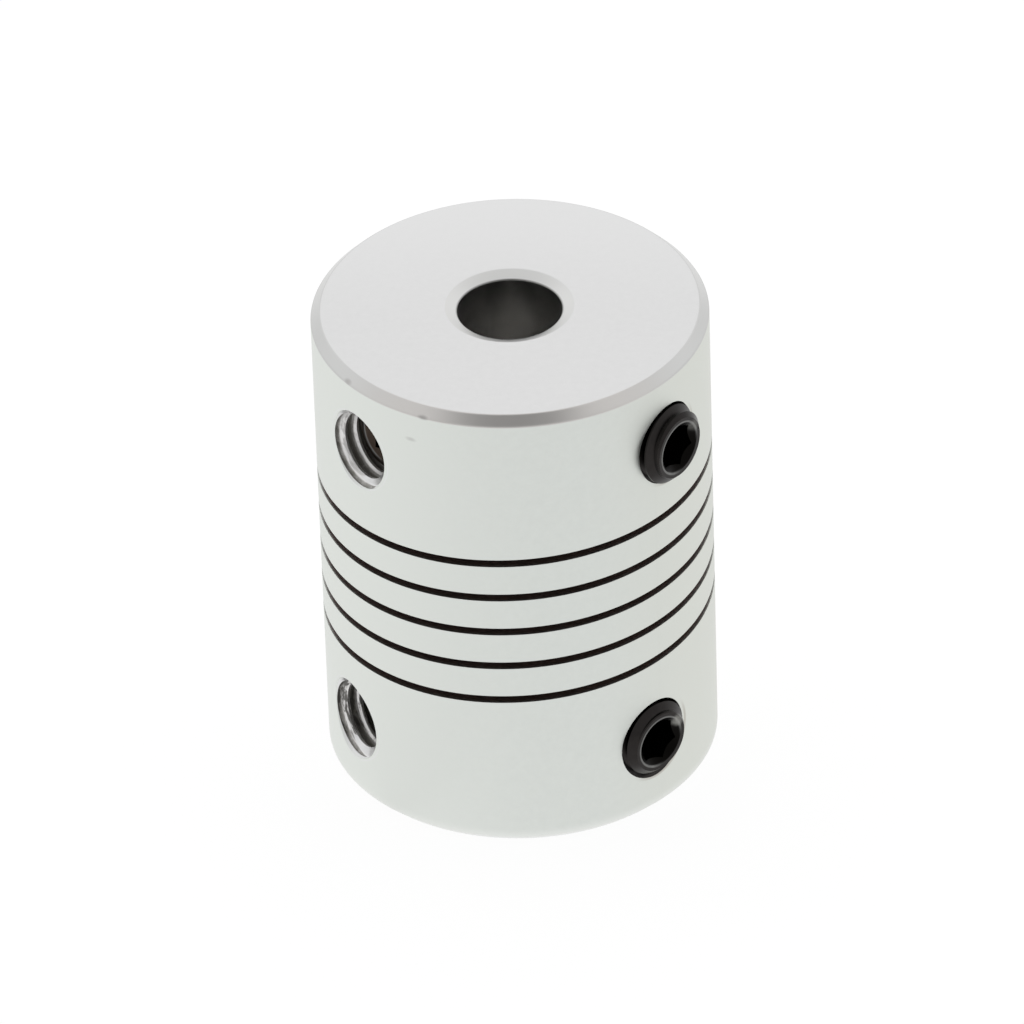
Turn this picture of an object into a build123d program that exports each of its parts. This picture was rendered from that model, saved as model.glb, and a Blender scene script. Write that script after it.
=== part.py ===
"""Helical flexible shaft coupling: a one-piece turned body with a coil cut in its middle, and four set screws.

Millimetres. The origin is the centre of the lower end face, +Z runs up the shaft axis, and -Y halves the angle
between the two upper set screws.
"""
from build123d import *
import os
from math import cos, radians, sin, tan

# Body, turned from bar
body_diameter = 19.0
body_length = 25.0
end_chamfer = 0.45

# Bore, right through, with a shallow countersink at each mouth
bore_diameter = 5.0
bore_countersink_width = 0.6
bore_countersink_depth = 0.25

# Tapped holes, two at each end
screw_spread = 102.0
upper_hole_depth_below_top = 4.0
lower_hole_height = 4.3
lower_pair_turn = -8.4
thread_diameter = 4.0
thread_clearance = 0.05
hole_edge_chamfer = 0.15

# Slot, one right-handed spiral cut from the outside through to the bore. It starts at the back, above the lower
# holes, and ends below the upper ones, which leaves a solid hub for each shaft end
slot_width = 0.4
coil_pitch = 2.0
metal_above_lower_holes = 1.35
metal_below_upper_holes = 1.25
slot_start_angle = 90.0
cutter_overrun = 0.6

# Set screws, with a hexagon socket and a cup point
screw_length = 5.0
screw_end_chamfer = 0.4
socket_across_flats = 2.0
socket_depth = 2.0
socket_mouth_diameter = 2.6
socket_floor_angle = 118.0
point_diameter = 2.4
point_length = 0.7
cup_diameter = 2.0
cup_depth = 0.45
upper_right_stand_out = 0.7
lower_right_stand_out = 0.4
left_screws_sink = 1.5

# Sizes that follow from those above
body_radius = body_diameter / 2
bore_radius = bore_diameter / 2
screw_radius = thread_diameter / 2
hole_radius = screw_radius + thread_clearance
upper_hole_height = body_length - upper_hole_depth_below_top
coil_bottom = lower_hole_height + hole_radius + metal_above_lower_holes
coil_top = upper_hole_height - hole_radius - metal_below_upper_holes
slot_inner_radius = bore_radius - cutter_overrun
slot_outer_radius = body_radius + cutter_overrun
slot_middle_radius = (slot_inner_radius + slot_outer_radius) / 2


def facing_out(angle, height, distance):
    """The plane square to a tapped hole's axis, at an angle from -Y towards +X, looking away from the shaft axis."""
    turn = radians(angle)
    outward = Vector(sin(turn), -cos(turn), 0)
    return Plane(origin=outward * distance + Vector(0, 0, height), x_dir=(0, 0, 1), z_dir=outward)


# Each screw's name, its angle, its height and how far its socket end stands out of the body
screws = [
    ("upper_right_set_screw", screw_spread / 2, upper_hole_height, upper_right_stand_out),
    ("upper_left_set_screw", -screw_spread / 2, upper_hole_height, -left_screws_sink),
    ("lower_right_set_screw", lower_pair_turn + screw_spread / 2, lower_hole_height, lower_right_stand_out),
    ("lower_left_set_screw", lower_pair_turn - screw_spread / 2, lower_hole_height, -left_screws_sink),
]

os.makedirs("parts", exist_ok=True)

# Slot: a flat rectangle carried along a helix, so that its two walls stay square to the shaft axis
with BuildPart() as coil_slot:
    with BuildLine():
        coil = Helix(
            pitch=coil_pitch,
            height=coil_top - coil_bottom,
            radius=slot_middle_radius,
            center=(0, 0, coil_bottom),
        )
    with BuildSketch(Plane(origin=coil @ 0, x_dir=(1, 0, 0), z_dir=(0, -1, 0))):
        Rectangle(slot_outer_radius - slot_inner_radius, slot_width)
    sweep(path=coil, is_frenet=True)

# Body: half of its section, turned about the shaft axis
with BuildPart() as coupling_body:
    with BuildSketch(Plane.XZ):
        with BuildLine():
            Polyline(
                (bore_radius + bore_countersink_width, 0),
                (body_radius - end_chamfer, 0),
                (body_radius, end_chamfer),
                (body_radius, body_length - end_chamfer),
                (body_radius - end_chamfer, body_length),
                (bore_radius + bore_countersink_width, body_length),
                (bore_radius, body_length - bore_countersink_depth),
                (bore_radius, bore_countersink_depth),
                close=True,
            )
        make_face()
    revolve(axis=Axis.Z)

    add(coil_slot.part, rotation=(0, 0, slot_start_angle), mode=Mode.SUBTRACT)

    # The tapped holes, each from the outside in to the bore, with a broken edge
    for name, angle, height, stand_out in screws:
        with Locations(facing_out(angle, height, body_radius)):
            CounterSinkHole(
                radius=hole_radius,
                counter_sink_radius=hole_radius + hole_edge_chamfer,
                depth=body_radius,
                counter_sink_angle=90,
            )
coupling_body.part.label = "coupling_body"
export_step(coupling_body.part, "parts/coupling_body.step")

# Set screws: turned with a bevelled socket end and a cup point, drilled, and then the hexagon socket pressed in
pilot_radius = socket_across_flats / 2
pilot_floor = pilot_radius / tan(radians(socket_floor_angle / 2))
mouth_radius = socket_mouth_diameter / 2
for name, angle, height, stand_out in screws:
    socket_end = facing_out(angle, height, body_radius + stand_out)
    section = Plane(origin=socket_end.origin, x_dir=socket_end.x_dir, z_dir=-socket_end.y_dir)
    with BuildPart() as set_screw:
        with BuildSketch(section):
            with BuildLine():
                Polyline(
                    (0, -socket_depth - pilot_floor),
                    (pilot_radius, -socket_depth),
                    (pilot_radius, pilot_radius - mouth_radius),
                    (mouth_radius, 0),
                    (screw_radius - screw_end_chamfer, 0),
                    (screw_radius, -screw_end_chamfer),
                    (screw_radius, point_length - screw_length),
                    (point_diameter / 2, -screw_length),
                    (cup_diameter / 2, -screw_length),
                    (0, cup_depth - screw_length),
                    close=True,
                )
            make_face()
        revolve(axis=Axis(socket_end.origin, socket_end.z_dir))
        with BuildSketch(socket_end):
            RegularPolygon(radius=pilot_radius, side_count=6, major_radius=False)
        extrude(amount=-socket_depth, mode=Mode.SUBTRACT)
    set_screw.part.label = name
    export_step(set_screw.part, f"parts/{name}.step")
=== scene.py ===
from math import cos, pi, radians, sin, tan

import bpy
from mathutils import Matrix, Vector


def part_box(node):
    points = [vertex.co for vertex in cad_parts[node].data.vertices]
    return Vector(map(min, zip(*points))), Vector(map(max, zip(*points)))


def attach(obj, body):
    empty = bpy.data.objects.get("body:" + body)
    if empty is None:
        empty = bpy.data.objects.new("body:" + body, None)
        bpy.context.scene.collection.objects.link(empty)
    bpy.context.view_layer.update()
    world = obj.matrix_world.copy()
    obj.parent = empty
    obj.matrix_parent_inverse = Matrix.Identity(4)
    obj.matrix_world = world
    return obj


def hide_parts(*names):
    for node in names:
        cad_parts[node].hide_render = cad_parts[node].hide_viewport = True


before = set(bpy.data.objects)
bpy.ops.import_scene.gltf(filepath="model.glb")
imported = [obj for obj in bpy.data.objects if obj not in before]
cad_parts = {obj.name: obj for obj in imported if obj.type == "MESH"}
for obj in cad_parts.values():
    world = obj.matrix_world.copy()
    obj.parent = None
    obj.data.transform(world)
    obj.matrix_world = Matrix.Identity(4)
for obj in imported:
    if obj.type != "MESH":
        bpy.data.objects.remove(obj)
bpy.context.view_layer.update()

# Coupling body: one piece of aluminium bar, turned, faced, chamfered and bored right through, then anodised to a
# satin silver. The shaft ends go into its bore, and all the cuts in the next two sections are made in it.
mm = 0.001
body_low, body_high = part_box("coupling_body")
body_radius = body_high.x
body_length = body_high.z
body_sides = 512
end_chamfer = 0.45 * mm
bore_radius = 2.5 * mm
bore_mouth_width = 0.6 * mm
bore_mouth_depth = 0.25 * mm
broken_edge = 0.04 * mm
weld_distance = 0.0001 * mm


def take(piece):
    """Makes one piece the only one that is selected, and the active one."""
    bpy.ops.object.select_all(action="DESELECT")
    piece.select_set(True)
    bpy.context.view_layer.objects.active = piece


def draw_line(name, corners):
    """A line drawn from corner to corner of a section, given as (distance from the axis, height)."""
    bpy.ops.object.select_all(action="DESELECT")
    places = [Vector((distance, 0, height)) for distance, height in corners]
    bpy.ops.mesh.primitive_plane_add(size=mm, location=places[0])
    line = bpy.context.object
    line.name = name
    bpy.ops.object.transform_apply()
    bpy.ops.object.mode_set(mode="EDIT")
    bpy.ops.mesh.merge(type="CENTER")
    for here, there in zip(places, places[1:]):
        bpy.ops.mesh.extrude_region_move(TRANSFORM_OT_translate={"value": there - here})
    bpy.ops.object.mode_set(mode="OBJECT")
    return line


def weld(piece):
    """Makes one point of the points that lie together."""
    take(piece)
    bpy.ops.object.mode_set(mode="EDIT")
    bpy.ops.mesh.select_all(action="SELECT")
    bpy.ops.mesh.remove_doubles(threshold=weld_distance)
    bpy.ops.object.mode_set(mode="OBJECT")


def close_up(piece):
    """Welds a swept piece's seams, closes its open ends and turns its faces outwards."""
    weld(piece)
    bpy.ops.object.mode_set(mode="EDIT")
    bpy.ops.mesh.select_all(action="SELECT")
    bpy.ops.mesh.fill_holes(sides=0)
    bpy.ops.mesh.normals_make_consistent(inside=False)
    bpy.ops.object.mode_set(mode="OBJECT")


def turn_on_lathe(line, sides):
    """Spins a drawn section once round the upright axis."""
    take(line)
    bpy.ops.object.mode_set(mode="EDIT")
    bpy.ops.mesh.select_all(action="SELECT")
    bpy.ops.mesh.spin(steps=sides, angle=2 * pi, center=(0, 0, 0), axis=(0, 0, 1))
    bpy.ops.object.mode_set(mode="OBJECT")
    close_up(line)


body_corners = [
    (bore_radius + bore_mouth_width, 0),
    (body_radius - end_chamfer, 0),
    (body_radius, end_chamfer),
    (body_radius, body_length - end_chamfer),
    (body_radius - end_chamfer, body_length),
    (bore_radius + bore_mouth_width, body_length),
    (bore_radius, body_length - bore_mouth_depth),
    (bore_radius, bore_mouth_depth),
]
body = draw_line("machined_body", body_corners + body_corners[:1])
weld(body)
bpy.ops.object.mode_set(mode="EDIT")
bpy.ops.mesh.select_all(action="SELECT")
bpy.ops.mesh.bevel(offset=broken_edge, segments=2, affect="VERTICES")
bpy.ops.object.mode_set(mode="OBJECT")
turn_on_lathe(body, body_sides)

# Slot: one right-handed spiral, sawn from the outside through to the bore, which leaves a coil of the body's own
# metal that lets the two shaft ends run a little out of line. Both of its ends are at the back.
slot_width = 0.4 * mm
slot_pitch = 2 * mm
slot_turns = 5
slot_bottom = 7.7 * mm
slot_start_angle = radians(90) + pi / body_sides
saw_overrun = 0.6 * mm


def apply_modifier(piece, kind, **settings):
    """Gives a piece one modifier and applies it."""
    take(piece)
    modifier = piece.modifiers.new(kind.lower(), kind)
    for setting, value in settings.items():
        setattr(modifier, setting, value)
    bpy.ops.object.modifier_apply(modifier=modifier.name)


def cut(piece, tool, operation="DIFFERENCE"):
    """Cuts a piece with a tool, and puts the tool away."""
    apply_modifier(piece, "BOOLEAN", object=tool, operation=operation, solver="MANIFOLD")
    bpy.data.objects.remove(tool)


def wind(piece, pitch, turns, steps):
    """Carries a drawn section up a right-handed helix round the upright axis."""
    apply_modifier(
        piece,
        "SCREW",
        angle=2 * pi,
        screw_offset=pitch,
        iterations=turns,
        steps=steps,
        render_steps=steps,
    )
    close_up(piece)


saw_reach = (bore_radius - saw_overrun, body_radius + saw_overrun)
saw_corners = [
    (saw_reach[0], slot_bottom - slot_width / 2),
    (saw_reach[1], slot_bottom - slot_width / 2),
    (saw_reach[1], slot_bottom + slot_width / 2),
    (saw_reach[0], slot_bottom + slot_width / 2),
]
saw = draw_line("slot_saw", saw_corners + saw_corners[:1])
weld(saw)
saw.rotation_euler.z = slot_start_angle
bpy.ops.object.transform_apply()
wind(saw, slot_pitch, slot_turns, body_sides)
cut(body, saw)

# Tapped holes: two at each end of the body, drilled and tapped M4 from the outside in to the bore, with a bevelled
# mouth. Their threads are bare metal, with crests that the screws have rubbed down on the outer side.
thread_pitch = 0.7 * mm
tap_radius = 2.02 * mm
tap_drill_radius = 1.65 * mm
rubbed_height = 0.1 * mm
rubbed_angle = radians(50)
thread_steps = 96
hole_depth = 7.6 * mm
upper_holes_height = 21.0 * mm
lower_holes_height = 4.3 * mm
holes = {
    "upper_right": (radians(51), upper_holes_height, 10.5 / thread_steps),
    "upper_left": (radians(-51), upper_holes_height, 38.5 / thread_steps),
    "lower_right": (radians(42.6), lower_holes_height, 5.5 / thread_steps),
    "lower_left": (radians(-59.4), lower_holes_height, 33.5 / thread_steps),
}
mouth_radii = {
    "upper_right": 2.14 * mm,
    "upper_left": 2.08 * mm,
    "lower_right": 2.2 * mm,
    "lower_left": 2.16 * mm,
}


def threaded_bar(name, root, crest, foot, bottom, top, phase):
    """A bar with a right-handed thread along the upright axis. The phase, from 0 to 1, is a share of a turn.

    The foot is the height over which the thread's lower side runs out at the rubbed angle.
    """
    half_crest = thread_pitch / 16
    slope = tan(radians(30))
    start = bottom - thread_pitch * (2 - phase)
    middle = start + thread_pitch / 2
    foot_start = middle - half_crest - (crest - root - foot) * slope
    bar = draw_line(
        name,
        [
            (root, start),
            (root, foot_start - foot * tan(rubbed_angle)),
            (root + foot, foot_start),
            (crest, middle - half_crest),
            (crest, middle + half_crest),
            (root, middle + half_crest + (crest - root) * slope),
            (root, start + thread_pitch),
        ],
    )
    turns = int((top - bottom) / thread_pitch) + 4
    wind(bar, thread_pitch, turns, thread_steps)
    bpy.ops.object.mode_set(mode="EDIT")
    for height, side in ((bottom, -1), (top, 1)):
        bpy.ops.mesh.select_all(action="SELECT")
        bpy.ops.mesh.bisect(
            plane_co=(0, 0, height),
            plane_no=(0, 0, side),
            use_fill=True,
            clear_outer=True,
            threshold=weld_distance,
        )
    bpy.ops.object.mode_set(mode="OBJECT")
    close_up(bar)
    return bar


def point_outwards(piece, angle, height, distance):
    """Lays a piece made along the upright axis on a hole's axis, its upper end outwards."""
    piece.rotation_euler = (pi / 2, 0, angle)
    piece.location = (sin(angle) * distance, -cos(angle) * distance, height)
    take(piece)
    bpy.ops.object.transform_apply()


for hole, (angle, height, phase) in holes.items():
    tap = threaded_bar(f"{hole}_tap", tap_drill_radius, tap_radius, rubbed_height, -hole_depth, mm, phase)
    point_outwards(tap, angle, height, body_radius)
    cut(body, tap)
    mouth_radius = mouth_radii[hole]
    bevel = draw_line(f"{hole}_bevel", [(0, -mouth_radius), (mouth_radius + mm, mm), (0, mm)])
    turn_on_lathe(bevel, thread_steps)
    point_outwards(bevel, angle, height, body_radius)
    cut(body, bevel)

take(body)
bpy.ops.object.shade_smooth_by_angle(angle=radians(10))
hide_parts("coupling_body")
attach(body, "root")


class Field:
    """A value that varies over a surface. Arithmetic on fields adds the Math nodes that work it out."""

    def __init__(self, finish, socket):
        self.finish = finish
        self.socket = socket

    def maths(self, operation, *others):
        return self.finish.node("Math", {"operation": operation}, [self, *others])

    def __add__(self, other):
        return self.maths("ADD", other)

    __radd__ = __add__

    def __sub__(self, other):
        return self.maths("SUBTRACT", other)

    def __rsub__(self, other):
        return self.finish.node("Math", {"operation": "SUBTRACT"}, [other, self])

    def __mul__(self, other):
        return self.maths("MULTIPLY", other)

    __rmul__ = __mul__

    def root(self):
        return self.maths("SQRT")

    def wave(self):
        return self.maths("SINE")

    def over(self, low, high):
        """0 up to low, 1 from high on, and a smooth rise between them."""
        settings = {"interpolation_type": "SMOOTHSTEP"}
        return self.finish.node("MapRange", settings, {"Value": self, "From Min": low, "From Max": high})

    def between(self, low, high, edge):
        """1 from low to high, 0 outside them, with soft edges."""
        return self.over(low - edge, low) * (1 - self.over(high, high + edge))


class Finish:
    """The material of one piece, or the world's light, as a tree of nodes."""

    def __init__(self, owner):
        owner.use_nodes = True
        self.tree = owner.node_tree
        self.tree.nodes.clear()

    def node(self, kind, settings, inputs, output=0):
        """Adds a node, makes its settings, fills or links its sockets, and returns one of its outputs."""
        made = self.tree.nodes.new("ShaderNode" + kind)
        for setting, value in settings.items():
            setattr(made, setting, value)
        pairs = inputs.items() if isinstance(inputs, dict) else enumerate(inputs)
        for socket, value in pairs:
            if isinstance(value, Field):
                self.tree.links.new(value.socket, made.inputs[socket])
            else:
                made.inputs[socket].default_value = value
        return Field(self, made.outputs[output]) if made.outputs else made

    def place(self):
        """The place on the piece, in millimetres, as a vector and as three fields."""
        here = self.node("TexCoord", {}, {}, "Object")
        scaled = self.node("VectorMath", {"operation": "SCALE"}, {"Vector": here, "Scale": 1 / mm})
        axes = [self.node("SeparateXYZ", {}, [scaled], axis) for axis in "XYZ"]
        return scaled, *axes

    def noise(self, where, scale, detail=2.0, roughness=0.5):
        inputs = {"Vector": where, "Scale": scale, "Detail": detail, "Roughness": roughness}
        return self.node("TexNoise", {}, inputs)

    def stretch(self, where, factors):
        return self.node("VectorMath", {"operation": "MULTIPLY"}, [where, factors])

    def distance(self, where, place):
        return self.node("VectorMath", {"operation": "DISTANCE"}, [where, place], "Value")

    def blend(self, amount, first, second):
        settings = {"data_type": "RGBA", "clamp_factor": True}
        return self.node("Mix", settings, {0: amount, 6: first, 7: second}, 2)

    def surface(self, **sockets):
        names = {name.replace("_", " ").title(): value for name, value in sockets.items()}
        shader = self.node("BsdfPrincipled", {}, names)
        self.node("OutputMaterial", {}, [shader])


body_material = bpy.data.materials.new("satin anodised aluminium")
finish = Finish(body_material)
where, x, y, z = finish.place()
from_axis = (x * x + y * y).root()
torn = finish.noise(finish.stretch(where, (1.6, 1.6, 0.6)), 2.6, 2.0, 0.5)
tapped = 0
grime_and_shade = 0
scored = 0
mouth_highlight = 0
shade_below_screws = 0
shaded = 0
for hole, (angle, height, phase) in holes.items():
    along = x * sin(angle) - y * cos(angle)
    across = x * cos(angle) + y * sin(angle)
    up = z - height / mm
    off_hole = (across * across + up * up).root()
    outside = along.over(2.4, 2.6)
    mouth = mouth_radii[hole] / mm
    bevelled = (off_hole - along).between(mouth - 9.52, mouth - 9.48, 0.01) * outside
    inside = (1 - off_hole.over(2.03, 2.06)) * outside * (1 - from_axis.over(9.4, 9.46)) * (1 - bevelled)
    tapped = tapped + inside
    if "left" in hole:
        # Grime in the thread roots, and painted shade on the threads deeper than 0.9 mm in.
        deeper = (1 - along.over(8.6, 8.7)) * off_hole.over(1.7, 1.8) * 0.7
        grime_and_shade = grime_and_shade + inside * (off_hole.over(1.82, 1.92) + deeper)
        round_hole = finish.node("CombineXYZ", {}, [off_hole, along, up * 0.25])
        scores = finish.noise(round_hole, 5.0, 3.0, 0.6).over(0.46, 0.56) * up.between(-1.5, 1.3, 0.5)
        scored = scored + scores * inside * (1.0 if "lower" in hole else 0.4)
        # Painted highlight: a thin light ring just outside the mouth.
        mouth_highlight = mouth_highlight + off_hole.between(mouth, mouth + 0.02, 0.04) * outside
    else:
        shaded = shaded + inside + bevelled * (1 - from_axis.over(9.48, 9.5))
        # Painted shade: a brownish band below the mouth, under the standing screw.
        below = (across - up).over(0.3, 2.4)
        shade_below_screws = shade_below_screws + off_hole.between(mouth, mouth + 0.04, 0.12) * outside * below
sawn = (1 - from_axis.over(9.25, 9.45)) * z.between(7.3, 18.1, 0.2)
bored = 1 - from_axis.over(2.52, 2.6)
wall = from_axis.over(9.42, 9.48)
end_bevel = (from_axis + z).over(34.0, 34.04)
bore_mouth = (1 - from_axis.over(3.06, 3.1)) * z.over(24.7, 24.76)
mottle = finish.noise(where, 2.4, 6.0, 0.72)
grain = finish.noise(finish.stretch(where, (6.0, 6.0, 0.8)), 3.0, 3.0, 0.6)
streaks = finish.noise(where, 2.2, 5.0, 0.65)
faces = finish.blend(mottle, (0.70, 0.70, 0.70, 1), (0.775, 0.775, 0.775, 1))
# Painted light: the end faces are made lighter towards the back of the coupling.
faces = finish.blend(y.over(-2, 9) * 0.6, faces, (0.80, 0.80, 0.80, 1))
# Painted light and shade on the wall: a greener tone than the faces, lighter on the left and near its foot,
# and yellower on the right.
walls = finish.blend(mottle, (0.665, 0.692, 0.662, 1), (0.755, 0.782, 0.752, 1))
walls = finish.blend(1 - x.over(-9, 2), walls, (0.775, 0.80, 0.765, 1))
walls = finish.blend(x.over(3, 9) * 0.8, walls, (0.725, 0.74, 0.69, 1))
walls = finish.blend(1 - z.over(0.25, 0.95), walls, (0.83, 0.845, 0.82, 1))
# Painted light: the lower chamfer is made lighter than the faces.
colour = finish.blend((from_axis - z).over(9.0, 9.04), faces, (0.77, 0.78, 0.76, 1))
colour = finish.blend(wall, colour, walls)
colour = finish.blend(sawn, colour, (0.50, 0.40, 0.37, 1))
# Painted light and shade on the upper chamfer: lighter at the front, darker at the sides and back.
bevels = finish.blend(y.over(-8.2, -4.8), (0.70, 0.68, 0.66, 1), (0.635, 0.637, 0.63, 1))
colour = finish.blend(end_bevel, colour, bevels)
colour = finish.blend(bore_mouth, colour, (0.71, 0.71, 0.70, 1))
# Painted shade and light in the bore: dark grey in its top 2.7 mm, light further in.
bores = finish.blend(z.over(22.3, 25.0), (0.90, 0.89, 0.87, 1), (0.26, 0.26, 0.255, 1))
colour = finish.blend(bored, colour, bores)
# Painted highlight: a thin light ring just outside the mouths of the left-hand holes.
colour = finish.blend(mouth_highlight * wall, colour, (0.79, 0.80, 0.79, 1))
# Painted shade below the mouths of the right-hand holes.
colour = finish.blend(shade_below_screws * 0.5, colour, (0.36, 0.31, 0.26, 1))
colour = finish.blend(tapped, colour, (0.84, 0.83, 0.82, 1))
# Grime, and painted shade deep in the left-hand holes.
colour = finish.blend(grime_and_shade * (streaks * 1.6), colour, (0.25, 0.24, 0.215, 1))
colour = finish.blend(scored * 0.9, colour, (0.09, 0.085, 0.078, 1))
colour = finish.blend(shaded, colour, (0.05, 0.047, 0.045, 1))
lathe_lines = (z * 90).wave() * 0.5 + finish.noise(finish.stretch(where, (0.2, 0.2, 14.0)), 1.0, 2.0)
relief = lathe_lines * 0.15 + grain * 0.6 + tapped * torn * 40
dents = (((-4.07, -8.53, 24.58), 0.35, 0.7), ((-7.62, -5.51, 24.63), 0.35, 0.6), ((-4.72, -8.24, 23.15), 0.4, 0.4))
for place, length, depth in dents:
    off_dent = finish.distance(finish.stretch(where, (1, 1, 2.5)), (place[0], place[1], place[2] * 2.5))
    dent_and_shade = (1 - off_dent.over(0.05, length)) * depth
    relief = relief - dent_and_shade * 40
    # Painted shade in each dent.
    colour = finish.blend(dent_and_shade, colour, (0.4, 0.39, 0.38, 1))
bump = finish.node("Bump", {}, {"Height": relief, "Strength": 0.25, "Distance": 0.004 * mm})
roughness = mottle * 0.08 + 0.26 + sawn * 0.1 + tapped * 0.15 + wall * 0.16
metal = 1 - (grime_and_shade + scored).over(0.1, 1.1) * 0.8
finish.surface(base_color=colour, metallic=metal, roughness=roughness, normal=bump)
body.data.materials.clear()
body.data.materials.append(body_material)

# Set screws: four M4 cup-point screws of black-oxide steel with a hexagon socket. The right-hand two stand out of
# the body, and the left-hand two are run in below its surface.
screw_length = 5 * mm
screw_crest_radius = 1.97 * mm
screw_root_radius = 1.6 * mm
screw_end_radius = 1.55 * mm
screw_blank_radius = 2.0 * mm
socket_across_flats = 2 * mm
socket_depth = 2 * mm
socket_mouth_radius = 1.3 * mm
socket_floor_half_angle = radians(59)
point_radius = 1.2 * mm
point_length = 0.7 * mm
cup_radius = 1 * mm
cup_depth = 0.45 * mm
stand_outs = {
    "upper_right": 0.7 * mm,
    "upper_left": -1.5 * mm,
    "lower_right": 0.4 * mm,
    "lower_left": -1.5 * mm,
}
socket_turns = {
    "upper_right": radians(10),
    "upper_left": radians(25),
    "lower_right": radians(12),
    "lower_left": radians(-5),
}
worn_patches = {"upper_right": 0.5, "upper_left": 0.2, "lower_right": 1.3, "lower_left": 0.2}
for hole, (angle, height, phase) in holes.items():
    stand_out = stand_outs[hole]
    screw = draw_line(
        f"{hole}_screw",
        [
            (0, 0),
            (screw_end_radius, 0),
            (screw_blank_radius, screw_end_radius - screw_blank_radius),
            (screw_blank_radius, point_length - screw_length),
            (point_radius, -screw_length),
            (cup_radius, -screw_length),
            (0, cup_depth - screw_length),
        ],
    )
    turn_on_lathe(screw, thread_steps)
    thread = threaded_bar(f"{hole}_die", screw_root_radius, screw_crest_radius, 0.01 * mm, -hole_depth, mm, phase)
    thread.location.z = -stand_out
    take(thread)
    bpy.ops.object.transform_apply()
    cut(screw, thread, "INTERSECT")
    pilot_radius = socket_across_flats / 2
    drill = draw_line(
        f"{hole}_socket_drill",
        [
            (0, -socket_depth - pilot_radius / tan(socket_floor_half_angle)),
            (pilot_radius, -socket_depth),
            (pilot_radius, pilot_radius - socket_mouth_radius),
            (socket_mouth_radius + mm, mm),
            (0, mm),
        ],
    )
    turn_on_lathe(drill, thread_steps)
    cut(screw, drill)
    bpy.ops.object.select_all(action="DESELECT")
    bpy.ops.mesh.primitive_cylinder_add(
        vertices=6,
        radius=pilot_radius / cos(pi / 6),
        depth=socket_depth + mm,
        location=(0, 0, (mm - socket_depth) / 2),
        rotation=(0, 0, socket_turns[hole]),
    )
    hexagon = bpy.context.object
    bpy.ops.object.transform_apply()
    cut(screw, hexagon)
    point_outwards(screw, angle, height, body_radius + stand_out)
    bpy.ops.object.shade_smooth_by_angle(angle=radians(28))
    apply_modifier(screw, "WEIGHTED_NORMAL", keep_sharp=True, weight=50)
    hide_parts(f"{hole}_set_screw")
    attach(screw, "root")

    steel = bpy.data.materials.new(f"black oxide steel of the {hole} screw")
    finish = Finish(steel)
    where, x, y, z = finish.place()
    along = x * sin(angle) - y * cos(angle)
    across = x * cos(angle) + y * sin(angle)
    up = z - height / mm
    off_axis = (across * across + up * up).root()
    end = (body_radius + stand_out) / mm
    rim_highlight = along.over(end - 0.12, end - 0.04) * off_axis.between(1.3, 1.35, 0.06) * (1 - (across - up).over(0.6, 1.6))
    socket = (1 - off_axis.over(1.18, 1.22)) * (1 - along.over(end - 0.4, end - 0.3))
    cone = (1 - off_axis.over(1.28, 1.34)) * along.over(end - 0.4, end - 0.3)
    cloud = finish.noise(where, 2.5, 4.0, 0.6)
    if "left" in hole:
        # Painted light: the screws sunk in the left-hand holes get a lighter, browner tone than the others.
        oxide = finish.blend(cloud, (0.035, 0.026, 0.02, 1), (0.07, 0.053, 0.043, 1))
    else:
        oxide = finish.blend(cloud, (0.022, 0.020, 0.020, 1), (0.036, 0.033, 0.031, 1))
        # Painted shade: the cone at the socket's mouth is made almost black.
        oxide = finish.blend(cone, oxide, (0.006, 0.0055, 0.005, 1))
    # Painted shade: the hexagon socket is made darker than the steel round it.
    colour = finish.blend(socket, oxide, (0.014, 0.013, 0.012, 1))
    # Painted highlight: a light ring at the socket's edge, left out on its lower right side.
    colour = finish.blend(rim_highlight * (cloud + 0.4), colour, (0.18, 0.18, 0.175, 1))
    rubbed = (cos(angle) * 1.1 + sin(angle) * end, sin(angle) * 1.1 - cos(angle) * end, height / mm + 0.68)
    worn = (1 - finish.distance(where, rubbed).over(0.15, 0.5)) * worn_patches[hole]
    colour = finish.blend(worn * cloud, colour, (0.3, 0.3, 0.28, 1))
    bump = finish.node("Bump", {}, {"Height": cloud, "Strength": 0.3, "Distance": 0.004 * mm})
    finish.surface(base_color=colour, metallic=1.0, roughness=cloud * 0.12 + 0.28, normal=bump)
    screw.data.materials.clear()
    screw.data.materials.append(steel)

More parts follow.
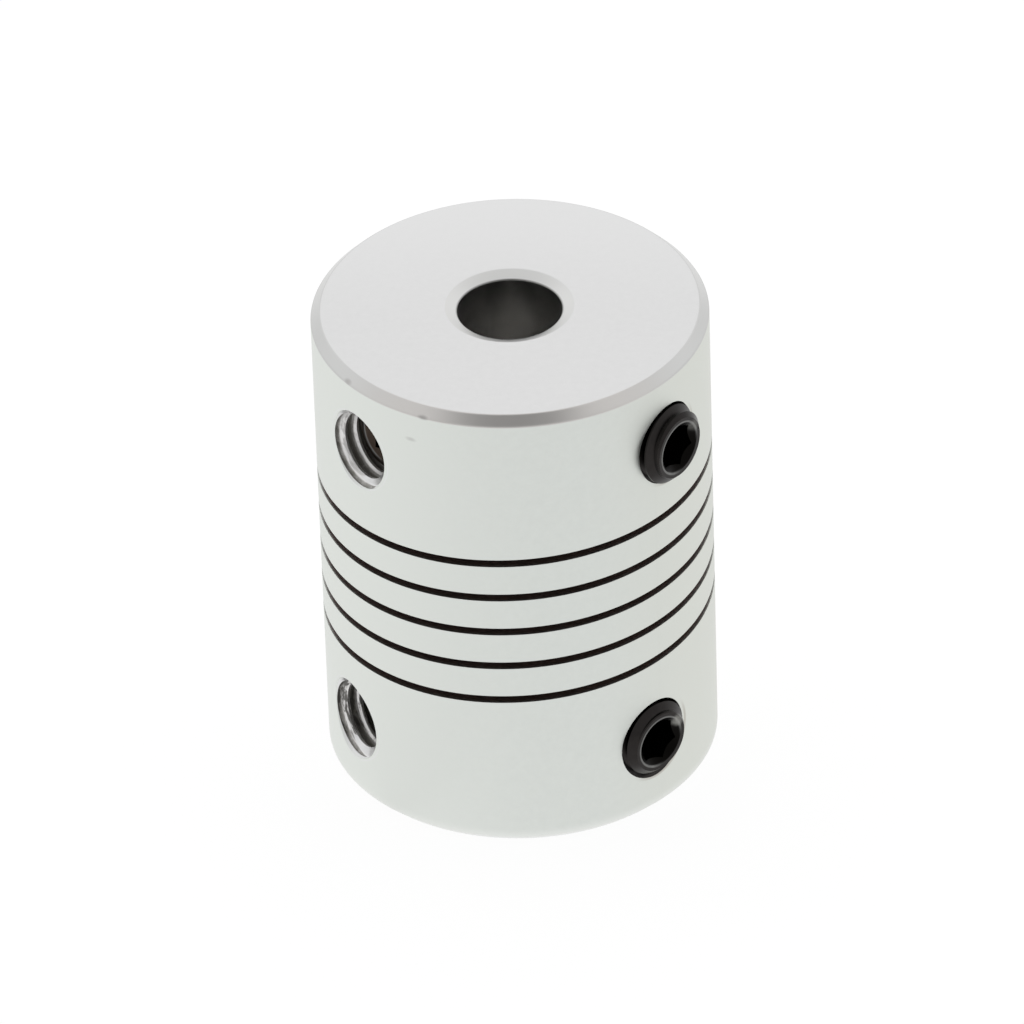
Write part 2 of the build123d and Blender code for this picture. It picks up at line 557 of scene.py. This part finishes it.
# Floor: a plain white sheet under the coupling, which keeps its soft shadow.
bpy.ops.object.select_all(action="DESELECT")
bpy.ops.mesh.primitive_plane_add(size=4, location=(0, 0, 0))
floor = bpy.context.object
floor.name = "floor"
floor_material = bpy.data.materials.new("white floor")
finish = Finish(floor_material)
camera_ray = finish.node("LightPath", {}, {}, "Is Camera Ray")
glossy_ray = finish.node("LightPath", {}, {}, "Is Glossy Ray")
paper = finish.node("BsdfDiffuse", {}, {"Color": (0.97, 0.97, 0.97, 1)})
glow = finish.node("Emission", {}, {"Color": (1, 1, 1, 1), "Strength": 1.06})
shader = finish.node("MixShader", {}, {0: camera_ray * 0.85 + glossy_ray * 0.9, 1: paper, 2: glow})
finish.node("OutputMaterial", {}, [shader])
floor.data.materials.append(floor_material)

# Light: a white tent all round, brightest behind the coupling, with a dark opening in front, high up, which shows
# in the front chamfer.
world = bpy.data.worlds.new("white tent")
bpy.context.scene.world = world
finish = Finish(world)
direction = finish.node("TexCoord", {}, {}, "Generated")
opening_height = radians(56)
opening = (0, -cos(opening_height), sin(opening_height))
facing = finish.node("VectorMath", {"operation": "DOT_PRODUCT"}, [direction, opening], "Value")
rise = finish.node("SeparateXYZ", {}, [direction], "Z")
dark = facing.over(cos(radians(33)), cos(radians(15))) * 0.5
dark = dark + facing.over(cos(radians(80)), cos(radians(55))) * 0.2
dark = dark + (1 - rise.over(0.05, 0.45)) * 0.12
camera_ray = finish.node("LightPath", {}, {}, "Is Camera Ray")
tent = finish.blend(dark * (1 - camera_ray), (1, 1, 1, 1), (0, 0, 0, 1))
light = finish.node("Background", {}, {"Color": tent, "Strength": 1.0})
finish.node("OutputWorld", {}, [light])

# Camera: a long lens, a little above and in front of the coupling, as the photograph was taken.
image_size = 1024
focal_length = 10749.93
camera_distance = 518.53 * mm
camera_elevation = radians(35.6145)
camera_roll = radians(-1.924)
camera_turn = radians(1.0)
target = Vector((-0.2152, 0, 12.896)) * mm
back = Vector((0, -cos(camera_elevation), sin(camera_elevation)))
right = Vector((1, 0, 0))
above = back.cross(right)
rolled_right = cos(camera_roll) * right + sin(camera_roll) * above
rolled_above = cos(camera_roll) * above - sin(camera_roll) * right
sensor_width = 36
lens = bpy.data.cameras.new("camera")
lens.sensor_width = sensor_width
lens.lens = focal_length * sensor_width / image_size
lens.clip_start = 0.01
lens.clip_end = 10
camera = bpy.data.objects.new("camera", lens)
bpy.context.scene.collection.objects.link(camera)
axes = Matrix((rolled_right, rolled_above, back)).transposed().to_4x4()
stand = Matrix.Translation(target + back * camera_distance) @ axes
camera.matrix_world = Matrix.Rotation(camera_turn, 4, "Z") @ stand
bpy.context.scene.camera = camera
bpy.context.scene.view_settings.view_transform = "Standard"
